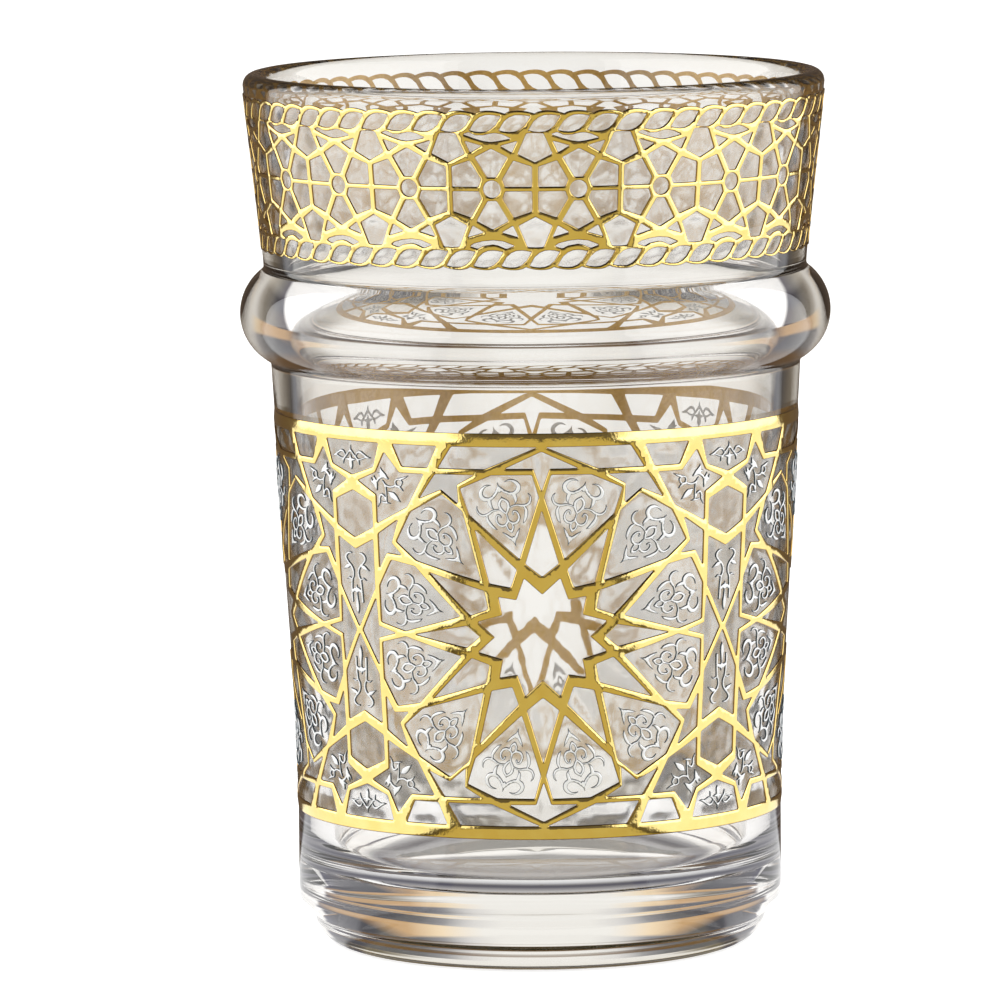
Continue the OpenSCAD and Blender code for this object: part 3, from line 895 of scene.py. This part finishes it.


# Relief enamel is a white glass: milk white and glossy on top, with a silvery lustre towards
# its edges, where painted shade turns it dark blue grey. It is clouded over 1.1 mm, and its
# skin has a grain of 0.34 mm.
clouds_per_mm = 0.9
enamel_grains_per_mm = 2.9
enamel_grain_height = 0.006
relief_enamel, tree, output = new_material("white_relief_enamel")
place = add_node(tree, "ShaderNodeTexCoord")
clouds = add_node(tree, "ShaderNodeTexNoise", {
    "Vector": place.outputs["Object"], "Scale": clouds_per_mm / MM, "Detail": 2.0
})
milk = add_node(tree, "ShaderNodeValToRGB", {
    "Fac": clouds.outputs["Fac"]
}, [(0.3, "#F4F5F5"), (0.7, "#FCFCFB")])
edge_nearness = add_node(tree, "ShaderNodeAttribute", attribute_name="edge_share")
painted_edge_shade_amount = add_node(tree, "ShaderNodeMapRange", {
    "Value": edge_nearness.outputs["Fac"], "From Min": 0.05, "From Max": 0.6, "To Min": 0.0, "To Max": 1.0
})
# Painted shade: the enamel turns dark blue grey towards its edges.
painted_edge_shade = add_node(tree, "ShaderNodeMix", {
    0: painted_edge_shade_amount.outputs["Result"], 6: milk.outputs["Color"], 7: linear("#505C66")
}, data_type="RGBA")
lustre = add_node(tree, "ShaderNodeMapRange", {
    "Value": edge_nearness.outputs["Fac"], "From Min": 0.0, "From Max": 1.0, "To Min": 0.15, "To Max": 0.8
})
grain = add_node(tree, "ShaderNodeTexNoise", {
    "Vector": place.outputs["Object"], "Scale": enamel_grains_per_mm / MM, "Detail": 1.0
})
skin = add_node(tree, "ShaderNodeBump", {
    "Height": grain.outputs["Fac"], "Strength": 1.0, "Distance": enamel_grain_height * MM
})
enamel = add_node(tree, "ShaderNodeBsdfPrincipled", {
    "Base Color": painted_edge_shade.outputs[2],
    "Metallic": lustre.outputs["Result"],
    "Roughness": 0.14,
    "Normal": skin.outputs["Normal"],
})
tree.links.new(enamel.outputs["BSDF"], output.inputs["Surface"])


# Through the glass the enamel shows its ground coat, fired onto the cup: pale, with a
# dull sheen and the same clouds.
enamel_ground, tree, output = new_material("white_enamel_ground_coat")
place = add_node(tree, "ShaderNodeTexCoord")
clouds = add_node(tree, "ShaderNodeTexNoise", {
    "Vector": place.outputs["Object"], "Scale": clouds_per_mm / MM, "Detail": 2.0
})
dull = add_node(tree, "ShaderNodeValToRGB", {
    "Fac": clouds.outputs["Fac"]
}, [(0, "#E4E2DE"), (1, "#F8F7F4")])
ground = add_node(tree, "ShaderNodeBsdfPrincipled", {
    "Base Color": dull.outputs["Color"], "Metallic": 0.6, "Roughness": 0.4
})
tree.links.new(ground.outputs["BSDF"], output.inputs["Surface"])

petal_strokes = both_sides([
    (
        [
            (0.72, 2.76), (1.05, 2.8), (1.4, 2.72), (1.75, 2.42), (1.9, 2), (1.72, 1.6),
            (1.3, 1.42), (0.9, 1.5), (0.5, 1.77), (0.15, 2.15), (0, 2.4),
        ],
        [0.08, 0.2, 0.27, 0.4, 0.45, 0.48, 0.42, 0.35, 0.32, 0.36, 0.3],
    ),
    ([(1.25, 1.4), (1.28, 1), (1.24, 0.62), (1.08, 0.38)], [0.42, 0.4, 0.3, 0.08]),
    (
        [(-0.04, 1.17), (0.2, 1.02), (0.42, 0.7), (0.42, 0.3), (0.22, -0.12), (0, -0.4)],
        [0.3, 0.3, 0.32, 0.32, 0.3, 0.24],
    ),
    (
        [
            (0.45, 0.12), (0.8, 0.2), (1.2, 0.2), (1.65, 0.02), (2.05, -0.05), (2.4, 0.05),
            (2.65, 0.35), (2.7, 0.75), (2.58, 1.05),
        ],
        [0.2, 0.22, 0.25, 0.3, 0.32, 0.3, 0.26, 0.2, 0.08],
    ),
    ([(1.85, -0.1), (1.95, -0.5), (1.82, -1), (1.55, -1.5), (1.3, -1.75)], [0.2, 0.32, 0.38, 0.3, 0.06]),
    (
        [
            (0.05, -1.2), (0.35, -1.48), (0.72, -1.5), (1.04, -1.24), (1.12, -0.82), (0.98, -0.42),
            (0.74, -0.36), (0.62, -0.62),
        ],
        [0.26, 0.3, 0.32, 0.28, 0.25, 0.25, 0.26, 0.2],
    ),
    ([(-0.04, -1.15), (0.26, -1.45), (0.27, -1.9), (0, -2.28)], [0.25, 0.24, 0.24, 0.3]),
    ([(0.88, -2.12), (0.62, -2.45), (0.32, -2.85), (0, -3.15)], [0.06, 0.26, 0.34, 0.45]),
]) + [
    ([(0, 1.95), (0, 2.3), (0, 2.6), (0, 2.88)], [0.3, 0.3, 0.16, 0.03]),
    ([(0, 1.1), (0, 1.25), (0, 1.42)], [0.3, 0.16, 0.04]),
    ([(0, -0.3), (0, -0.75), (0, -1.15)], [0.24, 0.2, 0.3]),
    ([(0, -2.85), (0, -3.2), (0, -3.6), (0, -3.85)], [0.2, 0.4, 0.14, 0.03]),
]
petal_seats = [(7.85, 13.0, 15.2), (23.55, 10.0, 46.7), (30.6, 3.35, 76.2)]
add_figures("petal_scrolls", petal_strokes, petal_seats, "petal_arabesques")

star_cell_strokes = [
    ([(0.1, 0.75), (0.5, 1.05), (0.85, 1.4), (1.0, 1.85)], [0.2, 0.55, 0.5, 0.1]),
    ([(0.6, 1.0), (1.0, 1.15), (1.35, 1.25)], [0.4, 0.35, 0.1]),
    ([(0.7, 0.95), (1.15, 0.75), (1.4, 0.45)], [0.35, 0.3, 0.3]),
    ([(1.85, 0.95), (1.7, 0.5), (1.6, 0.1), (1.45, -0.5)], [0.12, 0.5, 0.6, 0.1]),
    ([(1.6, 0.15), (2.0, 0.35), (2.2, 0.75)], [0.3, 0.3, 0.08]),
    ([(-0.75, 0.3), (-0.8, 0.65), (-1.2, 0.8), (-1.5, 0.5)], [0.24, 0.24, 0.24, 0.24]),
    ([(-0.75, 0.35), (-0.9, 0.1), (-1.3, 0.1), (-1.5, 0.45)], [0.24, 0.24, 0.24, 0.24]),
    ([(-1.3, 0.8), (-1.75, 0.95), (-2.15, 1.15)], [0.3, 0.25, 0.08]),
    ([(-0.8, 0.15), (-0.3, -0.05), (0.2, 0.0), (0.45, 0.15)], [0.26, 0.26, 0.26, 0.26]),
    ([(-0.8, 0.05), (-1.3, -0.1), (-1.6, -0.4)], [0.24, 0.26, 0.1]),
    ([(0.75, 0.55), (0.5, 0.2), (0.37, -0.4), (0.35, -1.1), (0.3, -1.75)], [0.16, 0.24, 0.24, 0.24, 0.16]),
    ([(-0.1, -1.75), (0.35, -1.7), (0.9, -1.65)], [0.1, 0.26, 0.2]),
    ([(0.1, -0.55), (-0.35, -0.85), (-0.75, -1.15), (-1.25, -1.55)], [0.12, 0.7, 0.6, 0.08]),
    (
        [(0.45, -1.45), (0.6, -1.05), (0.95, -0.9), (1.2, -1.25), (1.2, -1.65), (1.5, -2.2)],
        [0.2, 0.26, 0.3, 0.3, 0.28, 0.08],
    ),
]
add_figures("star_cell_scrolls", star_cell_strokes, [(34.6, 15.0, 0)], "star_cell_arabesques")

vine_strokes = both_sides([
    (
        [
            (0.7, -1.6), (0.7, -0.65), (0.65, 0.1), (0.58, 0.63), (0.38, 1.05), (0.36, 1.55),
            (0.6, 2.0), (1.0, 2.35), (1.3, 2.73), (1.28, 3.05), (0.95, 3.33), (0.6, 3.35),
        ],
        [0.3, 0.28, 0.28, 0.28, 0.28, 0.28, 0.28, 0.28, 0.3, 0.3, 0.26, 0.2],
    ),
    ([(0.65, 2.1), (1.15, 1.95), (1.75, 1.65)], [0.2, 0.5, 0.12]),
    ([(0.6, 0.65), (1.0, 0.8), (1.35, 0.62)], [0.2, 0.24, 0.1]),
]) + [
    ([(-0.7, -0.6), (0, -0.35), (0.7, -0.6)], [0.3, 0.55, 0.3]),
    ([(0, -0.5), (0, -0.2), (0, 0.1)], [0.5, 0.3, 0.06]),
    ([(0, -0.8), (0, -1.3), (0, -1.9), (0, -2.4), (0, -2.85)], [0.2, 0.3, 0.52, 0.45, 0.08]),
]
add_figures("vine_scrolls", vine_strokes, [(45.0, 4.5, 0)], "vine_motifs")

trefoil_strokes = both_sides([
    ([(0, 0.95), (0.4, 0.5), (0.8, 0.1), (1.02, -0.15), (1.1, -0.55)], [0.2, 0.24, 0.24, 0.3, 0.12]),
    (
        [(0.72, 0.35), (0.95, 0.68), (1.35, 0.75), (1.8, 0.5), (2.2, 0.25), (2.55, 0.22)],
        [0.16, 0.26, 0.3, 0.26, 0.3, 0.1],
    ),
    ([(0.85, 0), (1.3, 0), (1.75, 0.18), (2.1, 0.25)], [0.22, 0.2, 0.2, 0.16]),
]) + [
    ([(0, 0.75), (0, 1.1), (0, 1.4)], [0.3, 0.16, 0.04]),
    ([(0, -1.05), (0, -0.75), (0, -0.3), (0, 0.05), (0, 0.5)], [0.16, 0.5, 0.5, 0.4, 0.06]),
    ([(-0.75, 0), (0, -0.1), (0.75, 0)], [0.08, 0.5, 0.08]),
]
add_figures("trefoil_scrolls", trefoil_strokes, [(45.0, 17.5, 0)], "trefoil_motifs")


# The stand is a plain matt white table, wide enough to fill the view, and evenly white to
# the camera. Only glass and gold see it glow, with painted shades that stand for the dark
# cards of a photographer's set and draw the outline of clear glass and the dark lines in the
# gold, and with a painted shadow round the cup's foot.

table_half = 3
side_light = 1.15
table_glow = 0.76
paper_white = "#DCDCDA"
back_shade = "#E6E4DF"
camera_side = "#B9AD80"
lamp_frame = "#484032"
room_behind = "#5E5044"
# Painted shadow round the foot, seen by glass and mirrors: a grey disc under the cup, then a dark ring.
painted_cup_shadow_colours = ("#B4B2B2", "#54535E")
painted_cup_shadow_fade = (0.013, 0.018)
painted_foot_shadow_fade = (0.019, 0.0235)
behind_glass = 0.023
# Painted shades that glass sees on the table, by turn from the camera: near the cup and in rings further
# out.
near_cards = [
    (0, "#FFFFFF"), (126, "#FFFFFF"), (129, "#26243A"), (139, "#4A4A4C"),
    (152, "#665E50"), (158, "#A09A90"), (165, back_shade),
]
middle_cards = [
    (0, "#FFFFFF"), (126, "#FFFFFF"), (130, "#77757C"), (140, "#8C8A86"),
    (152, "#A8A296"), (158, "#C4BEB2"), (165, back_shade),
]
far_cards = [
    (0, "#FFFFFF"), (22, "#FFFFFF"), (30, "#A39C92"), (50, "#8A8278"), (58, "#A39C92"),
    (64, "#FFFFFF"), (126, "#FFFFFF"), (129, "#26243A"), (139, "#4A4A4C"),
    (152, "#665E50"), (158, "#A09A90"), (165, back_shade),
]
card_rings = [(0.094, 0.106, middle_cards), (0.17, 0.22, far_cards)]
# Painted reflections that gold sees on the table: a beige camera side, dark frames by the softboxes, a
# dark room behind.
table_in_gold = [
    (0, camera_side), (28, camera_side), (29.5, lamp_frame), (33, lamp_frame),
    (34.5, "#FFFFFF"), (126, "#FFFFFF"), (131, room_behind),
]


def turn_share(tree, direction):
    """Half of 1 less the cosine of a direction's turn from -Y: 0 in front and 1 behind."""
    level = add_node(tree, "ShaderNodeVectorMath", {
        0: direction, 1: (1.0, 1.0, 0.0)
    }, operation="MULTIPLY")
    level = add_node(tree, "ShaderNodeVectorMath", {0: level.outputs[0]}, operation="NORMALIZE")
    level = add_node(tree, "ShaderNodeSeparateXYZ", {0: level.outputs[0]})
    share = add_node(tree, "ShaderNodeMapRange", {
        "Value": level.outputs["Y"], "From Min": -1.0, "From Max": 1.0, "To Min": 0.0, "To Max": 1.0
    })
    return share.outputs["Result"]


def by_turn(shades):
    """A ramp's stops from turns in degrees and colours: the place of each is what turn_share
    gives for that turn."""
    return [((1 - np.cos(np.radians(turn))) / 2, colour) for turn, colour in shades]


def ray_kinds(tree):
    """Is the ray from a mirror or through glass, is it from a mirror, and is it the camera's.
    A ray through glass counts as a glossy one too, so that is taken off again."""
    rays = add_node(tree, "ShaderNodeLightPath")
    kinds = {0: rays.outputs["Is Glossy Ray"], 1: rays.outputs["Is Transmission Ray"]}
    either = add_node(tree, "ShaderNodeMath", kinds, operation="MAXIMUM")
    mirror = add_node(tree, "ShaderNodeMath", kinds, operation="SUBTRACT")
    return either.outputs["Value"], mirror.outputs["Value"], rays.outputs["Is Camera Ray"]


table, tree, output = new_material("matt_white_table")
place = add_node(tree, "ShaderNodeTexCoord")
from_back = add_node(tree, "ShaderNodeVectorMath", {
    0: place.outputs["Object"], 1: (0.0, behind_glass, 0.0)
}, operation="SUBTRACT")
bounced, glossy, direct = ray_kinds(tree)
share = turn_share(tree, from_back.outputs[0])
from_foot = add_node(tree, "ShaderNodeVectorMath", {
    0: place.outputs["Object"]
}, operation="LENGTH")
through = add_node(tree, "ShaderNodeValToRGB", {"Fac": share}, by_turn(near_cards)).outputs["Color"]
for start, end, cards in card_rings:
    away = add_node(tree, "ShaderNodeMapRange", {
        "Value": from_foot.outputs["Value"], "From Min": start, "From Max": end
    })
    further = add_node(tree, "ShaderNodeValToRGB", {"Fac": share}, by_turn(cards))
    through = add_node(tree, "ShaderNodeMix", {
        0: away.outputs["Result"], 6: through, 7: further.outputs["Color"]
    }, data_type="RGBA").outputs[2]
in_gold = add_node(tree, "ShaderNodeValToRGB", {"Fac": share}, by_turn(table_in_gold))
studio = add_node(tree, "ShaderNodeMix", {
    0: glossy, 6: through, 7: in_gold.outputs["Color"]
}, data_type="RGBA")
# Painted shadow: under the cup the table shows a grey disc and a dark ring, which fade into the table by
# 23.5 mm.
cup_shadow_blend = add_node(tree, "ShaderNodeMapRange", {
    "Value": from_foot.outputs["Value"],
    "From Min": painted_cup_shadow_fade[0], "From Max": painted_cup_shadow_fade[1],
})
painted_contact_shadow = add_node(tree, "ShaderNodeMix", {
    0: cup_shadow_blend.outputs["Result"],
    6: linear(painted_cup_shadow_colours[0]), 7: linear(painted_cup_shadow_colours[1]),
}, data_type="RGBA")
beyond = add_node(tree, "ShaderNodeMapRange", {
    "Value": from_foot.outputs["Value"], "From Min": painted_foot_shadow_fade[0], "From Max": painted_foot_shadow_fade[1]
})
studio = add_node(tree, "ShaderNodeMix", {
    0: beyond.outputs["Result"], 6: painted_contact_shadow.outputs[2], 7: studio.outputs[2]
}, data_type="RGBA")
tint = add_node(tree, "ShaderNodeMix", {
    0: bounced, 6: linear("#FFFFFF"), 7: studio.outputs[2]
}, data_type="RGBA")
mirrored = add_node(tree, "ShaderNodeMath", {0: bounced, 1: side_light}, operation="MULTIPLY")
strength = add_node(tree, "ShaderNodeMix", {
    0: direct, 2: mirrored.outputs["Value"], 3: table_glow
}, data_type="FLOAT")
paper = add_node(tree, "ShaderNodeBsdfDiffuse", {"Color": linear(paper_white)})
glow = add_node(tree, "ShaderNodeEmission", {
    "Color": tint.outputs[2], "Strength": strength.outputs[0]
})
lifted = add_node(tree, "ShaderNodeAddShader", {
    0: paper.outputs["BSDF"], 1: glow.outputs["Emission"]
})
surface = add_node(tree, "ShaderNodeMixShader", {
    0: bounced, 1: lifted.outputs["Shader"], 2: glow.outputs["Emission"]
})
tree.links.new(surface.outputs["Shader"], output.inputs["Surface"])
mesh = bpy.data.meshes.new("table_top")
corners = [(-1, -1), (1, -1), (1, 1), (-1, 1)]
mesh.from_pydata([(table_half * x, table_half * y, 0) for x, y in corners], [], [(0, 1, 2, 3)])
mesh.materials.append(table)
floor = bpy.data.objects.new("table_top", mesh)
bpy.context.scene.collection.objects.link(floor)


# Two tall softboxes stand left and right of the glass, their near ends 33 degrees off
# the camera's line, and light the gold and the enamel. Clear glass shows the cards and
# the room in their place, or its outline would be lost against them.

box_distance = 0.5
box_angles = (33, 128)
box_height = 0.7
box_drop = 0.02
box_power = 1.15


def softbox(name, side):
    """A flat lamp square to the line through the middle of its span of angles."""
    middle = np.radians(sum(box_angles) / 2)
    width = 2 * box_distance * np.tan(np.radians(box_angles[1] - box_angles[0]) / 2)
    lamp = bpy.data.lights.new(name, "AREA")
    lamp.shape = "RECTANGLE"
    lamp.size = float(width)
    lamp.size_y = box_height
    lamp.energy = float(box_power * np.pi * width * box_height)
    stand = bpy.data.objects.new(name, lamp)
    stand.visible_transmission = False
    bpy.context.scene.collection.objects.link(stand)
    across, along = side * box_distance * np.sin(middle), -box_distance * np.cos(middle)
    at = Vector((across, along, box_height / 2 - box_drop))
    to = Vector((0, 0, at.z)) - at
    turn = to.to_track_quat("-Z", "Y").to_matrix().to_4x4()
    stand.matrix_world = Matrix.Translation(at) @ turn


softbox("softbox_left", -1)
softbox("softbox_right", 1)


# The room is white to the camera and soft all round. What glass and gold show of it has
# darker parts behind the glass, in the gaps between the softboxes, and overhead.

room_fill = 0.7
overhead = 0.12
overhead_fade = (0.35, 0.8)
room_low = [
    (0, "#FFFFFF"), (16, "#FFFFFF"), (26, "#B4936C"), (48, "#6E5A50"), (60, "#FFFFFF"),
    (119, "#FFFFFF"), (122, "#6E5A50"), (132, "#B4936C"), (155, "#C09C72"),
    (162, "#E8D2B0"), (170, back_shade),
]
room_middle = [
    (0, "#FFFFFF"), (14, "#FFFFFF"), (22, "#66676C"), (52, "#4A4952"), (62, "#FFFFFF"),
    (117, "#FFFFFF"), (120, "#26244A"), (128, "#4A4952"), (150, "#525358"),
    (157, "#66676C"), (162, "#8E8E92"), (167, "#D2D0CE"), (173, back_shade),
]
room_high = [
    (0, "#664A2A"), (50, "#664A2A"), (75, "#B09A82"), (105, "#B09A82"), (122, "#664A2A"),
]
room_layers = [(0.09, 0.12, room_middle), (0.26, 0.36, room_high)]
room_in_gold = [
    (0, "#5A5450"), (34, "#5A5450"), (35.5, lamp_frame), (38.5, lamp_frame),
    (40, "#FFFFFF"), (126, "#FFFFFF"), (131, room_behind),
]

world = bpy.data.worlds.new("studio")
world.use_nodes = True
tree = world.node_tree
tree.nodes.clear()
view = add_node(tree, "ShaderNodeTexCoord")
bounced, glossy, direct = ray_kinds(tree)
share = turn_share(tree, view.outputs["Generated"])
axes = add_node(tree, "ShaderNodeSeparateXYZ", {0: view.outputs["Generated"]})
studio = add_node(tree, "ShaderNodeValToRGB", {"Fac": share}, by_turn(room_low)).outputs["Color"]
for start, end, shades in room_layers:
    above = add_node(tree, "ShaderNodeMapRange", {
        "Value": axes.outputs["Z"], "From Min": start, "From Max": end
    })
    higher = add_node(tree, "ShaderNodeValToRGB", {"Fac": share}, by_turn(shades))
    studio = add_node(tree, "ShaderNodeMix", {
        0: above.outputs["Result"], 6: studio, 7: higher.outputs["Color"]
    }, data_type="RGBA").outputs[2]
in_gold = add_node(tree, "ShaderNodeValToRGB", {"Fac": share}, by_turn(room_in_gold))
studio = add_node(tree, "ShaderNodeMix", {
    0: glossy, 6: studio, 7: in_gold.outputs["Color"]
}, data_type="RGBA")
tint = add_node(tree, "ShaderNodeMix", {
    0: bounced, 6: linear("#FFFFFF"), 7: studio.outputs[2]
}, data_type="RGBA")
fall = add_node(tree, "ShaderNodeMapRange", {
    "Value": axes.outputs["Z"],
    "From Min": overhead_fade[0], "From Max": overhead_fade[1],
    "To Min": side_light, "To Max": overhead,
})
fill = add_node(tree, "ShaderNodeMix", {
    0: bounced, 2: room_fill, 3: fall.outputs["Result"]
}, data_type="FLOAT")
strength = add_node(tree, "ShaderNodeMix", {
    0: direct, 2: fill.outputs[0], 3: 1.0
}, data_type="FLOAT")
sky = add_node(tree, "ShaderNodeBackground", {
    "Color": tint.outputs[2], "Strength": strength.outputs[0]
})
add_node(tree, "ShaderNodeOutputWorld", {"Surface": sky.outputs["Background"]})
bpy.context.scene.world = world
bpy.context.scene.view_settings.view_transform = "Standard"


# The camera looks down on the glass from a little above its rim, from far away
# through a long lens, and leans by half a degree as the photograph does. Its yaw, pitch
# and roll are in radians.

camera_distance = 868.54
camera_height = 148.83
camera_turn = -0.99
camera_yaw = -0.0044
camera_pitch = 0.1183
camera_roll = 0.0089
focal_pixels = 8474.26
frame_pixels = 1000

lens = bpy.data.cameras.new("camera")
lens.sensor_width = 36.0
lens.lens = focal_pixels * lens.sensor_width / frame_pixels
lens.clip_end = 20
camera = bpy.data.objects.new("camera", lens)
bpy.context.scene.collection.objects.link(camera)
turned = Matrix.Rotation(np.radians(camera_turn), 4, "Z")
at = Matrix.Translation((0, -camera_distance * MM, camera_height * MM))
look = Matrix.Rotation(-camera_yaw, 4, "Z") @ Matrix.Rotation(np.pi / 2 - camera_pitch, 4, "X")
camera.matrix_world = turned @ at @ look @ Matrix.Rotation(-camera_roll, 4, "Z")
bpy.context.scene.camera = camera
